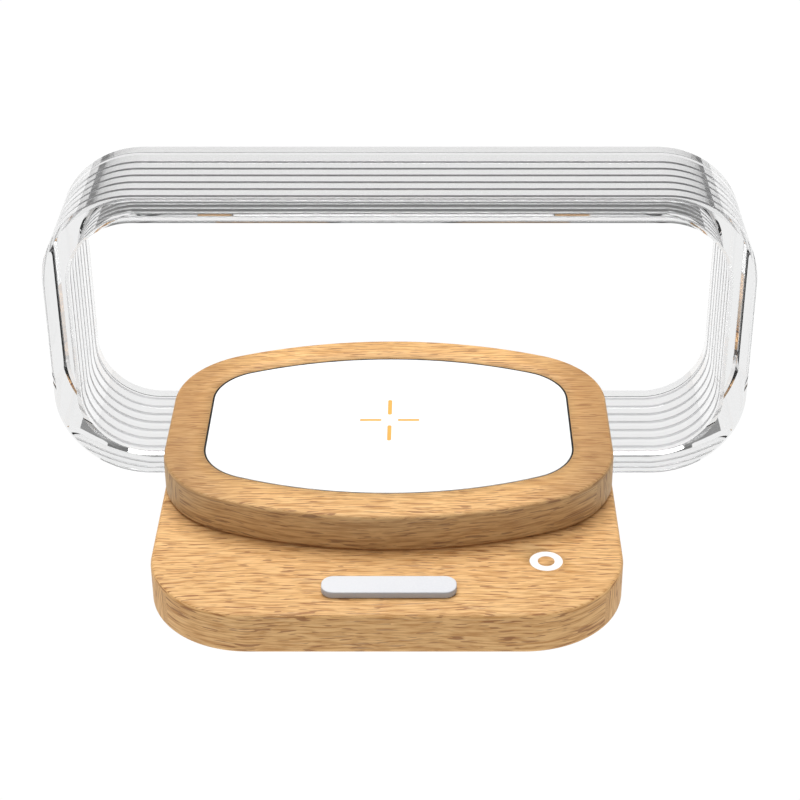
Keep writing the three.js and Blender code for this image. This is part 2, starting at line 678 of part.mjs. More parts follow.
// Leads: from the charger board down to the lamp board, and on to the light strip.
const [holeX, holeY] = LEAD_HOLE_AT;
const powerLead = lead([
  [holeX, 40, BOARD_LOW - 1.3],
  [holeX, 20, BOARD_LOW - 1.6],
  [holeX, holeY + 3, BASE_TOP + 1.6],
  [holeX, holeY, BASE_TOP - 1],
  [holeX, holeY, BAY_TOP - 0.5],
  [holeX + 4, holeY - 8, 9.4],
  [24, -28, 9],
  [31, -40, 8.6],
], LEAD_RADIUS, 22);
addPiece(baseGroup, 'power_lead', 'leadRed', powerLead);
const stripLead = lead([
  [34, -36, 8.6],
  [30, -18, 8.2],
  [25, 4, 5.6],
  [24, 16, 4.4],
  [24, LIGHT_POCKET_FRONT - 0.9, 4.4],
], LEAD_RADIUS, 12);
addPiece(baseGroup, 'strip_lead', 'leadRed', stripLead);

// A steel plate keeps the charger from tipping when a telephone leans on the loop.
const ballast = block([-60, -60, COVER_HIGH + 0.2], [18, 8, COVER_HIGH + 4.2]);
addPiece(baseGroup, 'ballast_plate', 'steel', ballast);

addPiece(baseGroup, 'bottom_cover', 'darkPlastic', makeCover());
COVER_SCREWS.forEach(([x, y], index) => {
  const piece = screw(x, y, COVER_LOW, COVER_SCREW_HIGH, COVER_SCREW_HEAD, COVER_SCREW_SHANK);
  addPiece(baseGroup, `cover_screw_${index + 1}`, 'steel', piece);
});
PAD_SCREWS.forEach(([x, y], index) => {
  const piece = screw(x, y, PAD_SCREW_LOW, PAD_SCREW_HIGH, PAD_SCREW_HEAD, PAD_SCREW_SHANK);
  addPiece(baseGroup, `pad_screw_${index + 1}`, 'steel', piece);
});
FEET.forEach(([x, y], index) => {
  const profile = [
    [0, 0],
    [FOOT_RADIUS - FOOT_EDGE, 0],
    [FOOT_RADIUS, FOOT_EDGE],
    [FOOT_RADIUS, FOOT_HEIGHT],
    [0, FOOT_HEIGHT],
  ];
  const foot = turned(profile, x, y, 0);
  addPiece(baseGroup, `foot_${index + 1}`, 'greySilicone', foot);
});

// The loop stands on the middle of the bounding box, a little to the right of the base.
addPiece(charger, 'light_loop', 'clearAcrylic', makeLoop());

export default charger;
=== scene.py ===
"""A bedside wireless charger: a beech charging pad on a square beech base, with a clear
acrylic light loop standing upright through the base. Metres, +Z up, +Y to the back."""

import math

import bmesh
import bpy
import numpy as np
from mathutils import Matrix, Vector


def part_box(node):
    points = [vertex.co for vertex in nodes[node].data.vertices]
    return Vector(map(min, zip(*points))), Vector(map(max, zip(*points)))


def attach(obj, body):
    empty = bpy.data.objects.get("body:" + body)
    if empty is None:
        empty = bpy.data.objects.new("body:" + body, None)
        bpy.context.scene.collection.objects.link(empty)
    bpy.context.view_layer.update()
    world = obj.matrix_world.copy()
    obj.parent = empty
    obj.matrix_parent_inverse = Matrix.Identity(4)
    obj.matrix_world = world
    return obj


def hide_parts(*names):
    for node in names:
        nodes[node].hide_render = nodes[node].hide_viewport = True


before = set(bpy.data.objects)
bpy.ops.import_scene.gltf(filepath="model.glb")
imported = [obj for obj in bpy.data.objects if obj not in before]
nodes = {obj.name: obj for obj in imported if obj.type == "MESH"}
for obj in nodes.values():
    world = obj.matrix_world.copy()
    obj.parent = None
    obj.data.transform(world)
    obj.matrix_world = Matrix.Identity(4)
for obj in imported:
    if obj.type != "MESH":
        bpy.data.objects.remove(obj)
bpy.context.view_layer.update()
scene = bpy.context.scene


# Camera. It stands in front of the charger, a little to the right of the loop's middle, and
# looks down on it at about 31 degrees through a long lens.

camera_data = bpy.data.cameras.new("camera")
camera_data.sensor_width = 36
camera_data.lens = 88.86
camera_data.shift_x = -0.0322
camera = bpy.data.objects.new("camera", camera_data)
camera.location = (0.0095, -0.6118, 0.4146)
camera.rotation_euler = (math.radians(59.32), 0, 0)
scene.collection.objects.link(camera)
scene.camera = camera


# Studio. The charger stands on a white light table under a large soft light, in a dimmer
# white room. The table shines white by itself, so no shadow falls on it.


def add(tree, kind, inputs=(), **settings):
    """Add a node: settings are its own properties, and inputs gives each socket a value or
    another node's output."""
    node = tree.nodes.new(kind)
    for name, value in settings.items():
        setattr(node, name, value)
    for socket, value in dict(inputs).items():
        if isinstance(value, bpy.types.NodeSocket):
            tree.links.new(value, node.inputs[socket])
        else:
            node.inputs[socket].default_value = value
    return node


def linear(code):
    """An sRGB hex colour as linear red, green, blue and alpha."""
    parts = [int(code[at:at + 2], 16) / 255 for at in (1, 3, 5)]
    return [*(c / 12.92 if c <= 0.04045 else ((c + 0.055) / 1.055) ** 2.4 for c in parts), 1]


def surface(name, grid, poles=False, material=None):
    """A mesh over a grid of points, rows by columns, whose columns close on themselves. Its
    rows close on themselves too, or with poles its first and last rows are each filled in to
    a point in their middle."""
    rows, columns = grid.shape[:2]
    points = grid.reshape(-1, 3)
    row = np.arange(rows - 1 if poles else rows)[:, None]
    column = np.arange(columns)[None, :]
    ahead = (row + 1) % rows * columns
    here = row * columns
    beside = (column + 1) % columns
    quads = np.stack([here + column, here + beside, ahead + beside, ahead + column], axis=-1)
    faces = quads.reshape(-1, 4).tolist()
    if poles:
        points = np.vstack([points, grid[0].mean(axis=0), grid[-1].mean(axis=0)])
        ring = np.arange(columns)
        last = (rows - 1) * columns
        start = np.stack([np.roll(ring, -1), ring, np.full(columns, rows * columns)], axis=-1)
        end = np.stack([
            last + ring, last + np.roll(ring, -1), np.full(columns, rows * columns + 1)], axis=-1)
        faces += start.tolist() + end.tolist()
    mesh = bpy.data.meshes.new(name)
    mesh.from_pydata(points.tolist(), [], faces)
    mesh.update()
    piece = bpy.data.objects.new(name, mesh)
    scene.collection.objects.link(piece)
    if material:
        mesh.materials.append(material)
    return piece


floor_half = 6
floor_drop = 0.0002
corners = floor_half * np.array([[-1, -1, 0], [1, -1, 0], [1, 1, 0], [-1, 1, 0]]) - [0, 0, floor_drop]
floor_mesh = bpy.data.meshes.new("floor")
floor_mesh.from_pydata(corners.tolist(), [], [[0, 1, 2, 3]])
floor = bpy.data.objects.new("floor", floor_mesh)
scene.collection.objects.link(floor)
# Opal acrylic lit evenly from below, which looks plain white.
floor_material = bpy.data.materials.new("white_light_table")
floor_material.use_nodes = True
tree = floor_material.node_tree
tree.nodes.clear()
glow = add(tree, "ShaderNodeEmission", {"Color": (1, 1, 1, 1), "Strength": 1.02})
add(tree, "ShaderNodeOutputMaterial", {"Surface": glow.outputs[0]})
floor_mesh.materials.append(floor_material)

scene.view_settings.view_transform = "Standard"
world = bpy.data.worlds.new("studio")
scene.world = world
world.use_nodes = True
tree = world.node_tree
tree.nodes.clear()
where = add(tree, "ShaderNodeTexCoord")
part = add(tree, "ShaderNodeSeparateXYZ", {0: where.outputs["Generated"]})
# The room is dim near the floor, brighter overhead and brightest at its two sides.
height = add(tree, "ShaderNodeMapRange", {"Value": part.outputs["Z"], "From Min": -0.2, "From Max": 0.9,
                                          "To Min": 0.1, "To Max": 0.25})
aside = add(tree, "ShaderNodeMath", {0: part.outputs["X"]}, operation="ABSOLUTE")
sides = add(tree, "ShaderNodeMapRange", {"Value": aside.outputs[0], "From Min": 0.35, "From Max": 0.75,
                                         "To Min": 0.0, "To Max": 0.35})
level = add(tree, "ShaderNodeMath", {0: height.outputs[0], 1: sides.outputs[0]}, operation="ADD")
room = add(tree, "ShaderNodeBackground", {"Color": (1, 1, 1, 1), "Strength": level.outputs[0]})
add(tree, "ShaderNodeOutputWorld", {"Surface": room.outputs[0]})


def soft_light(name, place, aim, size, power):
    """A square area light at place, facing the point aim."""
    data = bpy.data.lights.new(name, "AREA")
    data.size = size
    data.energy = power
    light = bpy.data.objects.new(name, data)
    light.location = place
    direction = np.subtract(aim, place)
    across = math.hypot(direction[0], direction[1])
    tilt = math.atan2(across, -direction[2])
    heading = math.atan2(direction[1], direction[0])
    light.rotation_euler = (tilt, 0, heading - math.pi / 2)
    scene.collection.objects.link(light)
    return light


soft_light("overhead", (-0.1, 0.35, 1.3), (0, 0, 0), 1.0, 18)
front_fill = soft_light("front_fill", (-0.5, -1.6, 0.8), (0, 0, 0), 1.2, 3)
front_fill.visible_glossy = False
front_fill.visible_transmission = False


# Base block. A square of solid European beech, planed, round cornered and sanded, with its
# top and bottom edges rounded over by a router and a channel across it for the loop.


def block_outline(arcs, steps):
    """Points and outward directions round an outline of arcs that run smoothly into each
    other, each given as centre x, centre y, radius, first angle and last angle. A point is its
    arc's centre plus the radius times the outward direction, the cosine and sine of its angle."""
    angle = np.concatenate([np.linspace(first, last, steps + 1) for _, _, _, first, last in arcs])
    centre = np.repeat([[x, y] for x, y, *_ in arcs], steps + 1, axis=0)
    radius = np.repeat([arc[2] for arc in arcs], steps + 1)[:, None]
    outward = np.stack([np.cos(angle), np.sin(angle)], axis=-1)
    return centre + radius * outward, outward


def rounded_rectangle_arcs(x, y, half_x, half_y, radius):
    """The four corner arcs of a rectangle centred on (x, y)."""
    quarter = math.pi / 2
    signs = [(1, 1), (-1, 1), (-1, -1), (1, -1)]
    return [
        (x + sx * (half_x - radius), y + sy * (half_y - radius), radius, turn * quarter, (turn + 1) * quarter)
        for turn, (sx, sy) in enumerate(signs)
    ]


def slab(name, outline, low, high, edge, material=None, edge_steps=6):
    """A flat piece over an outline: rows of points go from the middle of its underside out to
    the edge, up over a quarter-round at each edge, and back to the middle of its top."""
    points, outward = outline
    turn = np.linspace(0, math.pi / 2, edge_steps + 1)
    inset = np.concatenate([edge * (1 - np.sin(turn)), edge * (1 - np.cos(turn))])
    height = np.concatenate([low + edge * (1 - np.cos(turn)), high - edge * (1 - np.sin(turn))])
    rim = points[None] - inset[:, None, None] * outward[None]
    rim = np.dstack([rim, np.repeat(height[:, None], len(points), axis=1)])
    middle = np.array([*points.mean(axis=0), 0])
    flat = np.linspace(0.15, 0.9, 6)[:, None, None]
    under = (rim[0] - middle) * flat + middle
    under[..., 2] = low
    over = (rim[-1] - middle) * flat[::-1] + middle
    over[..., 2] = high
    piece = surface(name, np.concatenate([under, rim, over]), poles=True, material=material)
    finish(piece)
    return piece


def finish(piece, angle=35):
    """Shade smooth, with sharp edges kept where faces meet at more than angle degrees."""
    piece.data.shade_smooth()
    piece.data.set_sharp_from_angle(angle=math.radians(angle))


def cut(piece, other, operation):
    """Boolean the other piece into this one, and remove the other."""
    boolean = piece.modifiers.new("cut", "BOOLEAN")
    boolean.object = other
    boolean.operation = operation
    boolean.solver = "EXACT"
    boolean.use_self = True
    bpy.context.view_layer.objects.active = piece
    with bpy.context.temp_override(object=piece, active_object=piece, selected_objects=[piece]):
        bpy.ops.object.modifier_apply(modifier=boolean.name)
    bpy.data.objects.remove(other)


def grown_copy(node, outline, by=0.002, skin=0.0018):
    """A copy of a CAD block whose outside is pushed out and whose hollows stay where they are.
    outline maps points to the outline's outward direction and to their depth inside it. Points
    less deep than skin move by that much along the direction, and the top and bottom move up
    and down by as much."""
    mesh = nodes[node].data.copy()
    shell = bmesh.new()
    shell.from_mesh(mesh)
    bmesh.ops.remove_doubles(shell, verts=shell.verts, dist=1e-7)
    shell.to_mesh(mesh)
    shell.free()
    points = np.empty(len(mesh.vertices) * 3)
    mesh.vertices.foreach_get("co", points)
    points = points.reshape(-1, 3)
    low, high = points[:, 2].min(), points[:, 2].max()
    direction, depth = outline(points[:, :2])
    points[:, :2] += by * direction * (depth < skin)[:, None]
    touching = 1e-6
    at_top = points[:, 2] > high - touching
    at_bottom = points[:, 2] < low + touching
    points[:, 2] += by * (at_top * 1.0 - at_bottom * 1.0)
    mesh.vertices.foreach_set("co", points.ravel())
    mesh.materials.clear()
    copy = bpy.data.objects.new(node + "_grown", mesh)
    scene.collection.objects.link(copy)
    return copy


def nearest_on(outline):
    """For points inside an outline, the outward direction at the nearest outline point and
    the distance to it."""
    line, outward = outline

    def measure(points):
        gap = np.linalg.norm(points[:, None] - line[None], axis=-1)
        at = gap.argmin(axis=1)
        depth = np.einsum("ij,ij->i", line[at] - points, outward[at])
        return outward[at], depth

    return measure


def dense(outline, spacing=0.0004):
    """The same outline with points filled in along its straight runs."""
    line, outward = outline
    ahead = np.roll(line, -1, axis=0)
    counts = np.maximum(1, (np.linalg.norm(ahead - line, axis=1) / spacing).astype(int))
    pieces = [start + (end - start) * np.arange(n)[:, None] / n for start, end, n in zip(line, ahead, counts)]
    return np.concatenate(pieces), np.repeat(outward, counts, axis=0)


# Each size is a length along the fibres and a width across them. Real flecks are nearer
# 0.1 mm wide, and are drawn coarser so that each one shows.
figure_size = (0.045, 0.007)
fibre_size = (0.0055, 0.00036)
fleck_size = (0.0042, 0.0004)
pale_size = (0.005, 0.0004)
# The fibres sway by up to this much, about once in 13 mm.
sway_reach = 0.0035
sway_scale = 38
# Pores and fibres stand this far proud of each other.
grain_relief = 0.0002


def beech(name, middle, end_shade, side_shade, along=(0, 0, 0)):
    """Beech, planed and oiled: pale honey wood with fine fibres along X and the short dark
    flecks that beech shows. The ends of the boards show upright streaks, and the board's
    top is darker by end_shade towards its two ends, which lie either side of x = middle. Its sides
    are painted shade, darker and greyer by side_shade. Both tones are chosen, not known of the wood."""
    material = bpy.data.materials.new(name)
    material.use_nodes = True
    tree = material.node_tree
    tree.nodes.clear()
    where = add(tree, "ShaderNodeTexCoord")
    moved = add(tree, "ShaderNodeMapping", {"Vector": where.outputs["Object"], "Location": along})
    part = add(tree, "ShaderNodeSeparateXYZ", {0: moved.outputs[0]})
    top = add(tree, "ShaderNodeCombineXYZ", {"X": part.outputs["X"], "Y": part.outputs["Y"]})
    front = add(tree, "ShaderNodeCombineXYZ", {
        "X": part.outputs["X"], "Z": part.outputs["Z"], "Y": 0.4})
    upright = add(tree, "ShaderNodeCombineXYZ", {
        "X": part.outputs["Z"], "Y": part.outputs["Y"], "Z": 0.2})
    facing = add(tree, "ShaderNodeVectorMath", {0: where.outputs["Normal"]}, operation="ABSOLUTE")
    facing = add(tree, "ShaderNodeSeparateXYZ", {0: facing.outputs[0]})
    end_face = add(tree, "ShaderNodeMapRange", {
        "Value": facing.outputs["X"], "From Min": 0.79, "From Max": 0.83})
    top_face = add(tree, "ShaderNodeMapRange", {
        "Value": facing.outputs["Z"], "From Min": 0.68, "From Max": 0.74})
    round_side = add(tree, "ShaderNodeMix", {
        "Factor": end_face.outputs[0], 4: front.outputs[0], 5: upright.outputs[0]}, data_type="VECTOR")
    grain = add(tree, "ShaderNodeMix", {
        "Factor": top_face.outputs[0], 4: round_side.outputs[1], 5: top.outputs[0]}, data_type="VECTOR")
    sway = add(tree, "ShaderNodeTexNoise", {
        "Vector": grain.outputs[1], "Scale": sway_scale, "Detail": 1})
    bent = add(tree, "ShaderNodeVectorMath", {
        0: sway.outputs["Color"], 1: (0, sway_reach, sway_reach)}, operation="MULTIPLY")
    flow = add(tree, "ShaderNodeVectorMath", {0: grain.outputs[1], 1: bent.outputs[0]}, operation="ADD")

    def streaks(length, width, detail, rough=0.5):
        """Noise drawn out along the grain, with features of that length and width."""
        pitch = (0.5 / length, 0.5 / width, 0.5 / width)
        size = add(tree, "ShaderNodeMapping", {"Vector": flow.outputs[0], "Scale": pitch})
        return add(tree, "ShaderNodeTexNoise", {
            "Vector": size.outputs[0], "Scale": 1, "Detail": detail, "Roughness": rough})

    figure = streaks(*figure_size, 2)
    fibre = streaks(*fibre_size, 3, 0.55)
    fleck = streaks(*fleck_size, 1)
    pale = streaks(*pale_size, 1)
    tone = add(tree, "ShaderNodeValToRGB", {"Fac": fibre.outputs["Fac"]})
    tone.color_ramp.elements[0].position = 0.36
    tone.color_ramp.elements[0].color = linear("#c08c52")
    tone.color_ramp.elements[1].position = 0.6
    tone.color_ramp.elements[1].color = linear("#edc084")
    shade = add(tree, "ShaderNodeMapRange", {
        "Value": figure.outputs["Fac"], "From Min": 0.3, "From Max": 0.7, "To Min": 0.0, "To Max": 0.2})
    board = add(tree, "ShaderNodeMix", {
        "Factor": shade.outputs[0], 6: tone.outputs[0], 7: linear("#d9a062")}, data_type="RGBA")
    dark = add(tree, "ShaderNodeMapRange", {
        "Value": fleck.outputs["Fac"], "From Min": 0.6, "From Max": 0.64, "To Min": 0.0,
        "To Max": 0.66})
    flecked = add(tree, "ShaderNodeMix", {
        "Factor": dark.outputs[0], 6: board.outputs[2], 7: linear("#8a5430")}, data_type="RGBA")
    light = add(tree, "ShaderNodeMapRange", {
        "Value": pale.outputs["Fac"], "From Min": 0.6, "From Max": 0.75, "To Min": 0.0, "To Max": 0.35})
    wood = add(tree, "ShaderNodeMix", {
        "Factor": light.outputs[0], 6: flecked.outputs[2], 7: linear("#f7d29e")}, data_type="RGBA")
    end_tone = add(tree, "ShaderNodeMath", {0: part.outputs["X"], 1: along[0]}, operation="SUBTRACT")
    end_tone = add(tree, "ShaderNodeMath", {0: end_tone.outputs[0], 1: middle}, operation="SUBTRACT")
    end_tone = add(tree, "ShaderNodeMath", {0: end_tone.outputs[0]}, operation="ABSOLUTE")
    end_tone = add(tree, "ShaderNodeMapRange", {
        "Value": end_tone.outputs[0], "From Min": 0.045, "From Max": 0.075, "To Min": 0.0,
        "To Max": end_shade})
    end_tone = add(tree, "ShaderNodeMath", {
        0: end_tone.outputs[0], 1: facing.outputs["Z"]}, operation="MULTIPLY")
    wood = add(tree, "ShaderNodeMix", {
        "Factor": end_tone.outputs[0], 6: wood.outputs[2], 7: linear("#8a6238")}, data_type="RGBA")
    # Painted shade: upright sides turn darker and greyer, by up to side_shade, the more they face sideways.
    painted_side_shade = add(tree, "ShaderNodeMapRange", {
        "Value": facing.outputs["Z"], "From Min": 0.2, "From Max": 0.98, "To Min": side_shade,
        "To Max": 0.0})
    wood = add(tree, "ShaderNodeMix", {
        "Factor": painted_side_shade.outputs[0], 6: wood.outputs[2], 7: linear("#687468")}, data_type="RGBA")
    relief = add(tree, "ShaderNodeMath", {
        0: fibre.outputs["Fac"], 1: dark.outputs[0]}, operation="SUBTRACT")
    bump = add(tree, "ShaderNodeBump", {
        "Height": relief.outputs[0], "Strength": 0.18, "Distance": grain_relief})
    gloss = add(tree, "ShaderNodeMapRange", {
        "Value": fibre.outputs["Fac"], "To Min": 0.5, "To Max": 0.68})
    shader = add(tree, "ShaderNodeBsdfPrincipled", {
        "Base Color": wood.outputs[2], "Roughness": gloss.outputs[0], "Normal": bump.outputs[0],
        "IOR": 1.5, "Specular IOR Level": 0.35})
    add(tree, "ShaderNodeOutputMaterial", {"Surface": shader.outputs[0]})
    return material


base_low, base_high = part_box("base_block")
base_middle = (base_low + base_high) / 2
base_half = (base_high - base_low) / 2
wood_edge = 0.0016
base_corner = 0.0358
base_corner_steps = 32
base_arcs = rounded_rectangle_arcs(base_middle.x, base_middle.y, base_half.x, base_half.y, base_corner)
base_outline = block_outline(base_arcs, base_corner_steps)
# Oiled beech of even tone, pale and warm with a soft satin sheen.
beech_base = beech("oiled_beech_base", base_middle.x, 0.0, 0.0)
base_block = slab("base_block_beech", base_outline, base_low.z, base_high.z, wood_edge, beech_base)
cut(base_block, grown_copy("base_block", nearest_on(dense(base_outline))), "INTERSECT")
finish(base_block)
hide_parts("base_block")
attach(base_block, "base")


# Pad block. The same beech, cut to a barrel outline with bowed front and back. It is hollow
# underneath for the coil and board, and its top is let in for the white panel.


def barrel_arcs(x, y, half_x, half_y, bow, corner):
    """The six arcs of a barrel outline: four corners, and a shallow bow at front and back
    whose centres lie so that every arc runs smoothly into the next."""
    corner_x = half_x - corner
    bow_y = half_y - bow
    corner_y = bow_y + math.sqrt((bow - corner) ** 2 - corner_x ** 2)
    turn = math.atan2(corner_y - bow_y, corner_x)
    pi = math.pi
    return [
        (x + corner_x, y + corner_y, corner, 0, turn),
        (x, y + bow_y, bow, turn, pi - turn),
        (x - corner_x, y + corner_y, corner, pi - turn, pi),
        (x - corner_x, y - corner_y, corner, pi, pi + turn),
        (x, y - bow_y, bow, pi + turn, 2 * pi - turn),
        (x + corner_x, y - corner_y, corner, 2 * pi - turn, 2 * pi),
    ]


pad_low, pad_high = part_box("pad_block")
pad_middle = (pad_low + pad_high) / 2
pad_half = (pad_high - pad_low) / 2
pad_bow = 0.1575
pad_corner = 0.0358
barrel_steps = 24
pad_arcs = barrel_arcs(pad_middle.x, pad_middle.y, pad_half.x, pad_half.y, pad_bow, pad_corner)
pad_outline = block_outline(pad_arcs, barrel_steps)
# Oiled beech again, its grain shifted so that it doesn't repeat the base's. Its darker sides
# are painted shade, and the darker ends of its top are a given tone, not a known one.
beech_pad = beech("oiled_beech_pad", pad_middle.x, 0.6, 0.3, along=(0.31, 0.17, 0.05))
pad_block = slab("pad_block_beech", pad_outline, pad_low.z, pad_high.z, wood_edge, beech_pad)
cut(pad_block, grown_copy("pad_block", nearest_on(dense(pad_outline))), "INTERSECT")
finish(pad_block)
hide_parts("pad_block")
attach(pad_block, "base")


# Charging panel. A satin white acrylic sheet cut to the same barrel outline, flush with the
# wood and let in with a fine dark gap all round.

# Broad clouds of tone, about 20 mm across.
cloud_scale = 25


def speckled(name, colour, other, grain, roughness, relief, ior=1.46, side=None):
    """A moulded or sprayed surface: two close colours mixed by fine noise, with a faint relief
    of the same grain. grain is the size of the speckle in metres. Faces that stand upright turn
    to the colour side, where one is given, as painted shade."""
    material = bpy.data.materials.new(name)
    material.use_nodes = True
    tree = material.node_tree
    tree.nodes.clear()
    where = add(tree, "ShaderNodeTexCoord")
    noise = add(tree, "ShaderNodeTexNoise", {
        "Vector": where.outputs["Object"], "Scale": 0.5 / grain, "Detail": 3})
    broad = add(tree, "ShaderNodeTexNoise", {
        "Vector": where.outputs["Object"], "Scale": cloud_scale, "Detail": 2})
    blend = add(tree, "ShaderNodeMath", {
        0: noise.outputs["Fac"], 1: broad.outputs["Fac"]}, operation="MULTIPLY")
    spread = add(tree, "ShaderNodeMapRange", {
        "Value": blend.outputs[0], "From Min": 0.12, "From Max": 0.4})
    colours = add(tree, "ShaderNodeMix", {
        "Factor": spread.outputs[0], 6: linear(colour), 7: linear(other)}, data_type="RGBA")
    # Painted shade: faces that stand upright turn to the side colour, where one is given.
    if side:
        facing = add(tree, "ShaderNodeSeparateXYZ", {0: where.outputs["Normal"]})
        upright = add(tree, "ShaderNodeMapRange", {
            "Value": facing.outputs["Z"], "From Min": 0.3, "From Max": 0.95, "To Min": 1.0,
            "To Max": 0.0})
        colours = add(tree, "ShaderNodeMix", {
            "Factor": upright.outputs[0], 6: colours.outputs[2], 7: linear(side)}, data_type="RGBA")
    polish = add(tree, "ShaderNodeMapRange", {"Value": broad.outputs["Fac"], "To Min": roughness * 0.85,
                                              "To Max": roughness * 1.15})
    bump = add(tree, "ShaderNodeBump", {
        "Height": noise.outputs["Fac"], "Strength": 0.3, "Distance": relief})
    shader = add(tree, "ShaderNodeBsdfPrincipled", {
        "Base Color": colours.outputs[2], "Roughness": polish.outputs[0], "Normal": bump.outputs[0],
        "IOR": ior})
    add(tree, "ShaderNodeOutputMaterial", {"Surface": shader.outputs[0]})
    return material


panel_low, panel_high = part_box("charging_panel")
panel_middle = (panel_low + panel_high) / 2
panel_half = (panel_high - panel_low) / 2
panel_bow = 0.1419
panel_corner = 0.02135
panel_edge = 0.0003
# The sheet is cut this much small all round, so that the gap shows as a clear dark line.
panel_trim = 0.00035
panel_arcs = barrel_arcs(
    panel_middle.x, panel_middle.y, panel_half.x - panel_trim, panel_half.y - panel_trim,
    panel_bow - panel_trim, panel_corner - panel_trim)
# White cast acrylic with a satin face, which gives a soft clean white with no clear reflection.
white_acrylic = speckled("satin_white_acrylic", "#f9f9f9", "#f5f5f5", 0.0012, 0.22, 0.00001, ior=1.49)
panel_outline = block_outline(panel_arcs, barrel_steps)
panel = slab("charging_panel_sheet", panel_outline, panel_low.z, panel_high.z, panel_edge, white_acrylic, 3)


# Centre mark. Four short amber strokes with round ends, printed thick and let in flush with
# the panel, show where to put the telephone.

ink_rise = 0.00003
ink_play = 0.00002
ink_edge = 0.00002
cutter_over = 0.001
nearly_round = 0.98
# Screen ink, matt and dense, an even warm amber.
amber_ink = speckled("amber_screen_ink", "#f3ab4f", "#efa548", 0.0006, 0.45, 0.00001)
for name in ("mark_left", "mark_right", "mark_front", "mark_back"):
    low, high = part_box(name)
    middle, half = (low + high) / 2, (high - low) / 2
    ends = min(half.x, half.y) * nearly_round
    for play, part_name, material in ((0, name + "_stroke", amber_ink), (ink_play, name + "_seat", None)):
        arcs = rounded_rectangle_arcs(middle.x, middle.y, half.x + play, half.y + play, ends)
        top = high.z + (cutter_over if play else ink_rise)
        stroke = slab(part_name, block_outline(arcs, 8), low.z - play, top, ink_edge, material, 1)
        if play:
            cut(panel, stroke, "DIFFERENCE")
            continue
        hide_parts(name)
        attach(stroke, "base")
finish(panel)
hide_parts("charging_panel")
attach(panel, "base")


# Telephone stop. A bar of white silicone with round ends and a rounded top edge, held by a
# tongue in the base's slot.

stop_low, stop_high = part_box("phone_stop")
stop_middle = (stop_low + stop_high) / 2
stop_half = (stop_high - stop_low) / 2
stop_corner = 0.0042
stop_edge = 0.0004
stop_base = base_high.z + 0.00005
tongue_half_length = 0.019
tongue_half_depth = 0.0025
tongue_corner = 0.0024
tongue_edge = 0.0002
tongue_lap = 0.001
# Moulded silicone, a soft matt white. The bluish grey of its upright sides is painted shade.
white_silicone = speckled(
    "moulded_white_silicone", "#dfe0e3", "#dadbdf", 0.0004, 0.55, 0.00002, ior=1.41, side="#b9bfc8")
stop_arcs = rounded_rectangle_arcs(stop_middle.x, stop_middle.y, stop_half.x, stop_half.y, stop_corner)
stop_outline = block_outline(stop_arcs, 16)
stop = slab("phone_stop_bar", stop_outline, stop_base, stop_high.z, stop_edge, white_silicone, 5)
tongue_arcs = rounded_rectangle_arcs(
    stop_middle.x, stop_middle.y, tongue_half_length, tongue_half_depth, tongue_corner)
tongue_outline = block_outline(tongue_arcs, 8)
tongue = slab("phone_stop_tongue", tongue_outline, stop_low.z, stop_base + tongue_lap, tongue_edge)
cut(stop, tongue, "UNION")
finish(stop)
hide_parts("phone_stop")
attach(stop, "base")


# Touch ring. A flat white ring, pressed into a groove in the base and sanded flush. The
# wood shows in its middle.

ring_low, ring_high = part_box("touch_ring")
ring_middle = (ring_low + ring_high) / 2
press_fit = 0.0001
ring_outer = (ring_high.x - ring_low.x) / 2 + press_fit
ring_inner = 0.003 - press_fit
ring_edge = 0.00012
ring_top = base_high.z + 0.00004
turn = np.linspace(0, 2 * math.pi, 96, endpoint=False)
ring_profile = np.array([
    [ring_inner, ring_low.z], [ring_outer, ring_low.z],
    [ring_outer, ring_top - ring_edge], [ring_outer - ring_edge, ring_top],
    [ring_inner + ring_edge, ring_top], [ring_inner, ring_top - ring_edge],
])
ring_grid = np.stack([
    ring_middle.x + ring_profile[:, None, 0] * np.cos(turn),
    ring_middle.y + ring_profile[:, None, 0] * np.sin(turn),
    np.repeat(ring_profile[:, 1:], len(turn), axis=1),
], axis=-1)
# Pressed white plastic, sanded with the wood, a plain bright white with no gloss.
ring_plastic = speckled("white_pressed_plastic", "#fbfbfa", "#f6f6f5", 0.0005, 0.4, 0.00001)
ring = surface("touch_ring_inlay", ring_grid, material=ring_plastic)
finish(ring, 20)
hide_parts("touch_ring")
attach(ring, "base")


# Light loop. Clear cast acrylic, polished, bent into a closed round-cornered rectangle. Flat
# bottomed grooves are milled round its inside, and throw the light out of it.

loop_low, loop_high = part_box("light_loop")
loop_wall = 0.0099
loop_corner = 0.0342
loop_edge = 0.0012
groove_count = 8
# The grooves are drawn shallower and a little wider than they are cut, which keeps the bar
# bright when it is seen from the front.
groove_depth = 0.00012
groove_half = 0.00088
groove_floor = 0.00082
groove_back = 0.0012
loop_depth = loop_high.y - loop_low.y


def bar_section():
    """The bar's section as in, how far inside the loop's outer face, and along, how far behind
    its front face: a chamfer at each corner and flat-bottomed grooves along the inner side."""
    chamfer = np.array([[0, loop_edge], [loop_edge, 0]])
    back_outer = np.stack([chamfer[::-1, 0], loop_depth - chamfer[::-1, 1]], axis=-1)
    back_inner = np.stack([loop_wall - chamfer[:, 0], loop_depth - chamfer[:, 1]], axis=-1)
    front_inner = np.stack([loop_wall - chamfer[::-1, 0], chamfer[::-1, 1]], axis=-1)
    middles = (np.arange(groove_count) + 0.5) * loop_depth / groove_count + groove_back
    keep = (middles > loop_edge + groove_half) & (middles < loop_depth - loop_edge - groove_half)
    grooves = [
        [[loop_wall, at + groove_half], [loop_wall - groove_depth, at + groove_floor],
         [loop_wall - groove_depth, at - groove_floor], [loop_wall, at - groove_half]]
        for at in middles[keep][::-1]
    ]
    outside = [chamfer[::-1], back_outer[::-1]]
    inside = [back_inner[::-1], *grooves, front_inner[::-1]]
    return np.concatenate([*outside, *inside])[::-1]


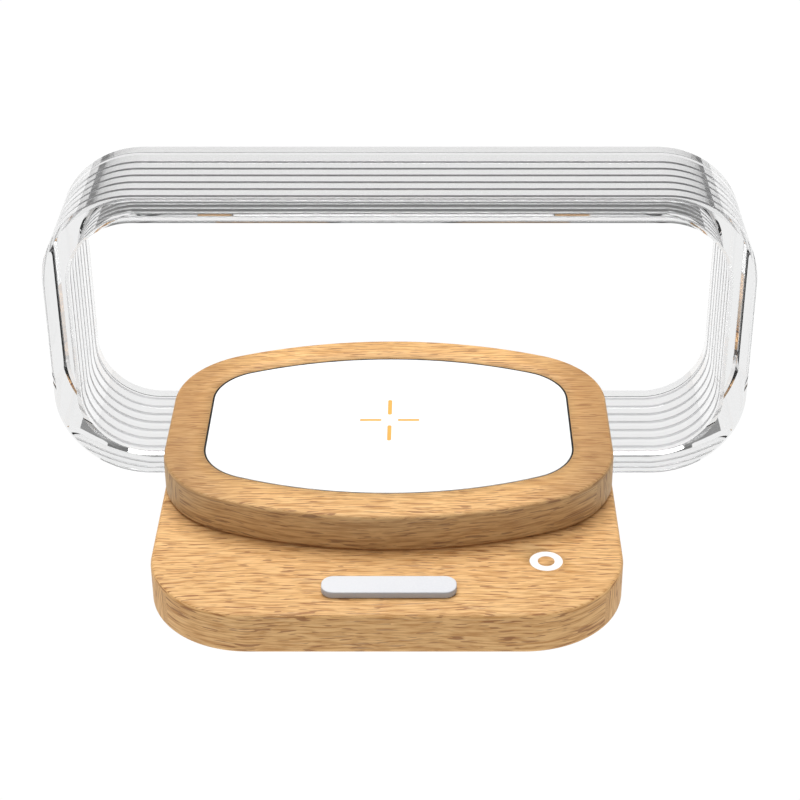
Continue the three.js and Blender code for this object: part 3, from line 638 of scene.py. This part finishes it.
section = bar_section()
loop_middle = (loop_low + loop_high) / 2
loop_half = (loop_high - loop_low) / 2
loop_arcs = rounded_rectangle_arcs(loop_middle.x, loop_middle.z, loop_half.x, loop_half.z, loop_corner)
loop_corner_steps = 40
loop_points, loop_outward = block_outline(loop_arcs, loop_corner_steps)
loop_plan = loop_points[None] - section[:, None, :1] * loop_outward[None]
loop_grid = np.stack([
    loop_plan[..., 0],
    np.repeat(loop_low.y + section[:, 1:], len(loop_points), axis=1),
    loop_plan[..., 1],
], axis=-1)

# Cast acrylic, flame polished: clear as water face on, and a little grey through its length.
acrylic_ior = 1.49
acrylic_body = linear("#7c7f80")
acrylic_density = 4
clear_acrylic = bpy.data.materials.new("polished_cast_acrylic")
clear_acrylic.use_nodes = True
tree = clear_acrylic.node_tree
tree.nodes.clear()
where = add(tree, "ShaderNodeTexCoord")
haze = add(tree, "ShaderNodeTexNoise", {"Vector": where.outputs["Object"], "Scale": 60, "Detail": 2})
polish = add(tree, "ShaderNodeMapRange", {"Value": haze.outputs["Fac"], "To Min": 0.0, "To Max": 0.02})
shader = add(tree, "ShaderNodeBsdfPrincipled", {
    "Base Color": linear("#fdfdfd"), "Roughness": polish.outputs[0], "IOR": acrylic_ior,
    "Transmission Weight": 1})
tint = add(tree, "ShaderNodeVolumeAbsorption", {"Color": acrylic_body, "Density": acrylic_density})
add(tree, "ShaderNodeOutputMaterial", {"Surface": shader.outputs[0], "Volume": tint.outputs[0]})

# Cutter scratches are about 0.5 mm apart. Between these two heights in the loop the grooves
# turn from their low tone to their high one, which in the groove floors is painted shade.
scratch_scale = 900
scratch_relief = 0.00005
painted_shade_from = 0.09
painted_shade_full = 0.108


def milled(name, high_colour, high_clear, low_colour, low_clear):
    """Acrylic as the cutter leaves it, matt and scratched. Each clear is how far it lets light
    through, from 0 for none to 1. It has one colour high in the loop and another low down."""
    material = bpy.data.materials.new(name)
    material.use_nodes = True
    tree = material.node_tree
    tree.nodes.clear()
    where = add(tree, "ShaderNodeTexCoord")
    scratches = add(tree, "ShaderNodeTexNoise", {
        "Vector": where.outputs["Object"], "Scale": scratch_scale, "Detail": 2})
    frost = add(tree, "ShaderNodeMapRange", {
        "Value": scratches.outputs["Fac"], "To Min": 0.35, "To Max": 0.65})
    part = add(tree, "ShaderNodeSeparateXYZ", {0: where.outputs["Object"]})
    high = add(tree, "ShaderNodeMapRange", {
        "Value": part.outputs["Z"], "From Min": painted_shade_from, "From Max": painted_shade_full})
    colour = add(tree, "ShaderNodeMix", {
        "Factor": high.outputs[0], 6: linear(low_colour), 7: linear(high_colour)}, data_type="RGBA")
    clear = add(tree, "ShaderNodeMapRange", {
        "Value": high.outputs[0], "To Min": low_clear, "To Max": high_clear})
    bump = add(tree, "ShaderNodeBump", {
        "Height": scratches.outputs["Fac"], "Strength": 0.3, "Distance": scratch_relief})
    shader = add(tree, "ShaderNodeBsdfPrincipled", {
        "Base Color": colour.outputs[2], "Roughness": frost.outputs[0], "Normal": bump.outputs[0],
        "IOR": acrylic_ior, "Transmission Weight": clear.outputs[0]})
    tint = add(tree, "ShaderNodeVolumeAbsorption", {"Color": acrylic_body, "Density": acrylic_density})
    add(tree, "ShaderNodeOutputMaterial", {"Surface": shader.outputs[0], "Volume": tint.outputs[0]})
    return material


# Milled acrylic: the floor of each groove shows as a grey line, and its two walls are paler.
# The darker tone in the top bar is painted shade, and isn't a known difference in the cut.
floor_acrylic_with_painted_shade = milled("matt_cut_acrylic_painted_shade", "#3a3a3c", 0.45, "#cfcfd1", 0.95)
wall_acrylic = milled("matt_groove_wall_acrylic", "#e4e4e6", 0.9, "#dededf", 0.95)

loop = surface("light_loop_acrylic", loop_grid, material=clear_acrylic)
loop.data.materials.append(floor_acrylic_with_painted_shade)
loop.data.materials.append(wall_acrylic)
touching = 1e-6
deep = np.abs(section[:, 0] - (loop_wall - groove_depth)) < touching
deep_ahead = np.roll(deep, -1)
cut_rows = np.where(deep & deep_ahead, 1, np.where(deep | deep_ahead, 2, 0))
loop.data.polygons.foreach_set("material_index", np.repeat(cut_rows, len(loop_points)))
finish(loop, 25)
loop.visible_shadow = False
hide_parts("light_loop")
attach(loop, "loop")


# Panel tape. A frame of black foam tape bonds the panel to the floor of its seat, and the
# tape's outer edge is folded up round the panel. There it fills the gap as a fine black line
# whose top slopes down from the wood to the panel. This black lip is painted shade for the gap.


def dress(material, *names):
    """Give CAD nodes a material in every slot."""
    for name in names:
        for slot in nodes[name].material_slots:
            slot.material = material


tape_low, tape_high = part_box("panel_tape")
seat_gap = 0.0003 + panel_trim
shade_lip_outer = panel_high.z - 0.00003
shade_lip_inner = panel_high.z - 0.00028
tape_inset = 0.007
fold = 0.00001
panel_line, panel_outward = panel_outline
gasket_profile = np.array([
    [-tape_inset, tape_low.z], [seat_gap - fold, tape_low.z], [seat_gap - fold, shade_lip_outer], [fold, shade_lip_inner],
    [fold, tape_high.z], [-tape_inset, tape_high.z],
])
gasket_plan = panel_line[None] + gasket_profile[:, None, :1] * panel_outward[None]
gasket_grid = np.dstack([gasket_plan, np.repeat(gasket_profile[:, 1:], len(panel_line), axis=1)])
foam_cell = 0.0004
# Closed-cell foam, matt black with small paler cells, which reads as a soft dark line: painted shade in the
# gap.
foam_tape = bpy.data.materials.new("black_foam_tape")
foam_tape.use_nodes = True
tree = foam_tape.node_tree
tree.nodes.clear()
where = add(tree, "ShaderNodeTexCoord")
cells = add(tree, "ShaderNodeTexVoronoi", {"Vector": where.outputs["Object"], "Scale": 1 / foam_cell})
grey = add(tree, "ShaderNodeValToRGB", {"Fac": cells.outputs["Distance"]})
grey.color_ramp.elements[0].color = linear("#0c0c0d")
grey.color_ramp.elements[1].color = linear("#242527")
bump = add(tree, "ShaderNodeBump", {
    "Height": cells.outputs["Distance"], "Strength": 0.5, "Distance": 0.0001})
shader = add(tree, "ShaderNodeBsdfPrincipled", {
    "Base Color": grey.outputs[0], "Roughness": 0.9, "Normal": bump.outputs[0], "IOR": 1.45})
add(tree, "ShaderNodeOutputMaterial", {"Surface": shader.outputs[0]})
gasket = surface("panel_tape_shade_lip", gasket_grid[::-1], material=foam_tape)
finish(gasket)
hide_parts("panel_tape")
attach(gasket, "base")


# Charging coil. Ten turns of enamelled copper wire, wound flat on a grey ferrite disc in a
# black carrier that is screwed up under the panel.

coil_low, coil_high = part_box("charging_coil")
coil_middle = (coil_low + coil_high) / 2
coil_pitches = 20
wire_pitch = (coil_high.x - coil_low.x) / 2 / coil_pitches
tarnish_scale = 300
# Copper under brown enamel. Each turn has a painted highlight along its crest and painted shade beside it.
enamelled_wire = bpy.data.materials.new("enamelled_copper_wire")
enamelled_wire.use_nodes = True
tree = enamelled_wire.node_tree
tree.nodes.clear()
where = add(tree, "ShaderNodeTexCoord")
centred = add(tree, "ShaderNodeMapping", {"Vector": where.outputs["Object"],
                                          "Location": (-coil_middle.x, -coil_middle.y, 0)})
flat = add(tree, "ShaderNodeVectorMath", {0: centred.outputs[0], 1: (1, 1, 0)}, operation="MULTIPLY")
reach = add(tree, "ShaderNodeVectorMath", {0: flat.outputs[0]}, operation="LENGTH")
turns = add(tree, "ShaderNodeMath", {
    0: reach.outputs["Value"], 1: 2 * math.pi / wire_pitch}, operation="MULTIPLY")
crest = add(tree, "ShaderNodeMath", {0: turns.outputs[0]}, operation="SINE")
tarnish = add(tree, "ShaderNodeTexNoise", {
    "Vector": where.outputs["Object"], "Scale": tarnish_scale, "Detail": 3})
shade = add(tree, "ShaderNodeMath", {
    0: crest.outputs[0], 1: 0.3, 2: tarnish.outputs["Fac"]}, operation="MULTIPLY_ADD")
wire_tarnish_and_painted_sheen = add(tree, "ShaderNodeValToRGB", {"Fac": shade.outputs[0]})
wire_tarnish_and_painted_sheen.color_ramp.elements[0].color = linear("#5c2a14")
wire_tarnish_and_painted_sheen.color_ramp.elements[1].color = linear("#c9773f")
bump = add(tree, "ShaderNodeBump", {"Height": crest.outputs[0], "Strength": 0.8, "Distance": 0.0001})
shader = add(tree, "ShaderNodeBsdfPrincipled", {
    "Base Color": wire_tarnish_and_painted_sheen.outputs[0], "Metallic": 1, "Roughness": 0.3, "Normal": bump.outputs[0],
    "Coat Weight": 0.5})
add(tree, "ShaderNodeOutputMaterial", {"Surface": shader.outputs[0]})
dress(enamelled_wire, "charging_coil")
# Pressed ferrite powder, dull dark grey and slightly gritty.
dress(speckled("pressed_grey_ferrite", "#3f4043", "#2f3033", 0.0003, 0.7, 0.00002),
      "ferrite_disc", "charger_inductor")
# Glass-filled nylon, moulded, near black with faint paler fibres at the skin.
dress(speckled("black_glass_filled_nylon", "#232426", "#2d2e31", 0.0006, 0.55, 0.00003), "coil_carrier")


# Boards. Green glass-epoxy circuit boards with copper tracks under the lacquer, and the chips
# and capacitors that stand on them. One runs the charging coil, the other the light.

track_pitch = 0.0025
track_width = 0.00025
weave_scale = 1500
# Glass-epoxy board: glossy green lacquer, with the tracks under it a lighter green.
circuit_board = bpy.data.materials.new("green_lacquered_board")
circuit_board.use_nodes = True
tree = circuit_board.node_tree
tree.nodes.clear()
where = add(tree, "ShaderNodeTexCoord")
pads = add(tree, "ShaderNodeTexBrick", {
    "Vector": where.outputs["Object"], "Scale": 1, "Mortar Size": track_width,
    "Brick Width": 3 * track_pitch, "Row Height": track_pitch, "Mortar Smooth": 0.1,
    "Color1": linear("#1c6a45"), "Color2": linear("#195f3e"), "Mortar": linear("#2f8f5f")})
weave = add(tree, "ShaderNodeTexNoise", {
    "Vector": where.outputs["Object"], "Scale": weave_scale, "Detail": 2})
toned = add(tree, "ShaderNodeMix", {
    "Factor": weave.outputs["Fac"], 6: pads.outputs["Color"], 7: linear("#154c33")}, data_type="RGBA")
bump = add(tree, "ShaderNodeBump", {
    "Height": pads.outputs["Fac"], "Strength": 0.4, "Distance": 0.00004})
shader = add(tree, "ShaderNodeBsdfPrincipled", {
    "Base Color": toned.outputs[2], "Roughness": 0.35, "Normal": bump.outputs[0], "IOR": 1.5})
add(tree, "ShaderNodeOutputMaterial", {"Surface": shader.outputs[0]})
dress(circuit_board, "lamp_board", "charger_board")
# Moulded epoxy, matt black.
dress(speckled("matt_black_epoxy", "#18191b", "#212225", 0.0002, 0.5, 0.00001), "touch_chip", "charger_chip")
# Dipped film capacitors, smooth and a deep amber.
dress(speckled("amber_film_capacitor", "#c98a35", "#b97b2b", 0.0004, 0.4, 0.00001),
      "capacitor_1", "capacitor_2", "capacitor_3")
# Undyed nylon, a milky off-white.
dress(speckled("natural_nylon", "#e6e2d6", "#dcd7c8", 0.0008, 0.5, 0.00002),
      "board_spacer_1", "board_spacer_2", "board_spacer_3", "board_spacer_4")


# Light strip. Eight cream light-emitting diodes on a narrow board shine into the loop's bottom
# bar, and a white film behind the bar throws back what passes through.

# White solder lacquer, smooth and slightly glossy.
dress(speckled("white_lacquered_board", "#eceee9", "#dfe2db", 0.0005, 0.4, 0.00001), "light_strip")
phosphor_grit = 4000
# Phosphor powder in clear silicone, a grainy yellow cream when it is not lit.
phosphor = bpy.data.materials.new("cream_phosphor")
phosphor.use_nodes = True
tree = phosphor.node_tree
tree.nodes.clear()
where = add(tree, "ShaderNodeTexCoord")
grit = add(tree, "ShaderNodeTexNoise", {
    "Vector": where.outputs["Object"], "Scale": phosphor_grit, "Detail": 2})
cream = add(tree, "ShaderNodeMix", {
    "Factor": grit.outputs["Fac"], 6: linear("#f4dd8c"), 7: linear("#e9c964")}, data_type="RGBA")
bump = add(tree, "ShaderNodeBump", {
    "Height": grit.outputs["Fac"], "Strength": 0.3, "Distance": 0.00002})
shader = add(tree, "ShaderNodeBsdfPrincipled", {
    "Base Color": cream.outputs[2], "Roughness": 0.3, "Normal": bump.outputs[0], "IOR": 1.41})
add(tree, "ShaderNodeOutputMaterial", {"Surface": shader.outputs[0]})
dress(phosphor, *[f"led_{number}" for number in range(1, 9)])
# Polyester film, smooth bright white with a slight sheen.
dress(speckled("white_polyester_film", "#f6f7f7", "#eff0f0", 0.001, 0.3, 0.00001), "reflector")
# Extruded silicone, dull mid grey.
dress(speckled("grey_silicone_strip", "#54575b", "#4b4e52", 0.0005, 0.75, 0.00003),
      "grip_strip_left", "grip_strip_right")
# Soft vinyl insulation, an even red with a low sheen.
dress(speckled("red_lead_insulation", "#a82f2a", "#962722", 0.0006, 0.45, 0.00001),
      "power_lead", "strip_lead")


# Metal parts. The touch electrode is copper foil, and its contact is a plated spring. A
# galvanised steel plate in the base keeps the charger from tipping.


def plated(name, colour, other, roughness, grain, relief=0.00001):
    """Bare or plated metal: two close tones in patches of about grain metres across, each with
    a little more or less polish, and fine scratches from handling."""
    material = bpy.data.materials.new(name)
    material.use_nodes = True
    tree = material.node_tree
    tree.nodes.clear()
    where = add(tree, "ShaderNodeTexCoord")
    patches = add(tree, "ShaderNodeTexVoronoi", {"Vector": where.outputs["Object"], "Scale": 1 / grain})
    fine = add(tree, "ShaderNodeTexNoise", {
        "Vector": where.outputs["Object"], "Scale": 3 / grain, "Detail": 3})
    patch = add(tree, "ShaderNodeSeparateXYZ", {0: patches.outputs["Color"]})
    colours = add(tree, "ShaderNodeMix", {
        "Factor": patch.outputs["X"], 6: linear(colour), 7: linear(other)}, data_type="RGBA")
    polish = add(tree, "ShaderNodeMapRange", {"Value": fine.outputs["Fac"], "To Min": roughness * 0.75,
                                              "To Max": roughness * 1.25})
    bump = add(tree, "ShaderNodeBump", {
        "Height": fine.outputs["Fac"], "Strength": 0.3, "Distance": relief})
    shader = add(tree, "ShaderNodeBsdfPrincipled", {
        "Base Color": colours.outputs[2], "Metallic": 1, "Roughness": polish.outputs[0],
        "Normal": bump.outputs[0]})
    add(tree, "ShaderNodeOutputMaterial", {"Surface": shader.outputs[0]})
    return material


# Rolled copper foil, warm and streaked with light tarnish.
dress(plated("copper_foil", "#d08a5c", "#c27a4c", 0.35, 0.002), "touch_electrode")
# Nickel plate on spring steel, bright with a yellowish tinge.
dress(plated("nickel_plated_spring", "#c9c6bd", "#bdbab1", 0.25, 0.0008), "touch_contact")
# Hot-dip zinc on steel, dull grey with patches of spangle.
dress(plated("galvanised_steel", "#a9adb0", "#989ca0", 0.45, 0.006), "ballast_plate")


# Power socket. A drawn and plated steel shell with a black tongue inside it, open at the back
# of the pad.

# Nickel plate on drawn steel, smooth and bright.
dress(plated("nickel_plated_shell", "#cdccc8", "#c2c1bd", 0.28, 0.0012), "usb_socket")
# Liquid-crystal polymer, black with a dull sheen.
dress(speckled("black_liquid_crystal_polymer", "#1b1c1e", "#26272a", 0.0003, 0.4, 0.00001), "usb_tongue")


# Bottom cover. Black ABS, moulded with a fine spark-eroded grain, held by six screws. The
# pad's own four screws are hidden above it.

# ABS with a moulded grain, which looks charcoal and evenly matt.
dress(speckled("grained_black_abs", "#2b2d2f", "#333538", 0.0005, 0.6, 0.00006, ior=1.53), "bottom_cover")
# Bright zinc plate, bluish and lightly patched.
zinc_plated = plated("zinc_plated_steel", "#bfc3c6", "#aeb3b8", 0.32, 0.0015)


def turned(name, profile, x, y, sides, material):
    """A turned piece on an upright axis through (x, y): profile lists radius and height, from
    near the axis at the bottom round to near the axis at the top. Each point is the axis plus
    its radius times the cosine and sine of the turn."""
    turn = np.linspace(0, 2 * math.pi, sides, endpoint=False)
    profile = np.array(profile)
    grid = np.stack([
        x + profile[:, :1] * np.cos(turn), y + profile[:, :1] * np.sin(turn),
        np.repeat(profile[:, 1:], sides, axis=1)], axis=-1)
    piece = surface(name, grid, poles=True, material=material)
    finish(piece, 30)
    return piece


def screw(node, shank, material):
    """A pan-head screw in the place of a CAD screw, its head at the bottom with a crossed
    recess: a plus-shaped slot cut up into it."""
    low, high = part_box(node)
    middle = (low + high) / 2
    head = (high.x - low.x) / 2
    profile = [
        [head * 0.4, low.z], [head * 0.8, low.z], [head * 0.93, low.z + head * 0.06],
        [head, low.z + head * 0.2], [head, low.z + head * 0.38],
        [shank, low.z + head * 0.7], [shank, high.z - shank], [shank * 0.1, high.z],
    ]
    piece = turned(node + "_turned", profile, middle.x, middle.y, 40, material)
    arm, half = head * 0.55, head * 0.12
    corners = np.array([
        [arm, -half], [arm, half], [half, half], [half, arm], [-half, arm], [-half, half], [-arm, half],
        [-arm, -half], [-half, -half], [-half, -arm], [half, -arm], [half, -half]])
    grid = np.stack([np.column_stack([corners + [middle.x, middle.y], np.full(12, z)])
                     for z in (low.z - head * 0.2, low.z + head * 0.45)])
    cut(piece, surface(node + "_recess", grid, poles=True), "DIFFERENCE")
    finish(piece, 30)
    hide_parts(node)
    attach(piece, "base")


cover_shank = 0.0009
pad_shank = 0.0014
for number in range(1, 7):
    screw(f"cover_screw_{number}", cover_shank, zinc_plated)
for number in range(1, 5):
    screw(f"pad_screw_{number}", pad_shank, zinc_plated)


# Feet. Four round pads of grey silicone, stuck under the cover, with a softened edge and a
# shallow dish in the middle.

foot_edge = 0.0005
dish_depth = 0.0003
dish_floor_inset = 0.0022
dish_rim_inset = 0.0018
near_axis = 0.0002
top_edge = 0.0001
# Die-cut silicone, dull mid grey.
foot_silicone = speckled("grey_foot_silicone", "#5a5d61", "#505357", 0.0004, 0.75, 0.00003, ior=1.41)
for number in range(1, 5):
    low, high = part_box(f"foot_{number}")
    middle = (low + high) / 2
    radius = (high.x - low.x) / 2
    edge = np.linspace(0, math.pi / 2, 7)
    rim = np.stack([
        radius - foot_edge * (1 - np.sin(edge)), low.z + foot_edge * (1 - np.cos(edge))], axis=-1)
    profile = [
        [near_axis, low.z + dish_depth], [radius - dish_floor_inset, low.z + dish_depth],
        [radius - dish_rim_inset, low.z], *rim.tolist(),
        [radius, high.z - top_edge], [radius - top_edge, high.z], [near_axis, high.z],
    ]
    foot = turned(f"foot_{number}_pad", profile, middle.x, middle.y, 64, foot_silicone)
    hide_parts(f"foot_{number}")
    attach(foot, "base")
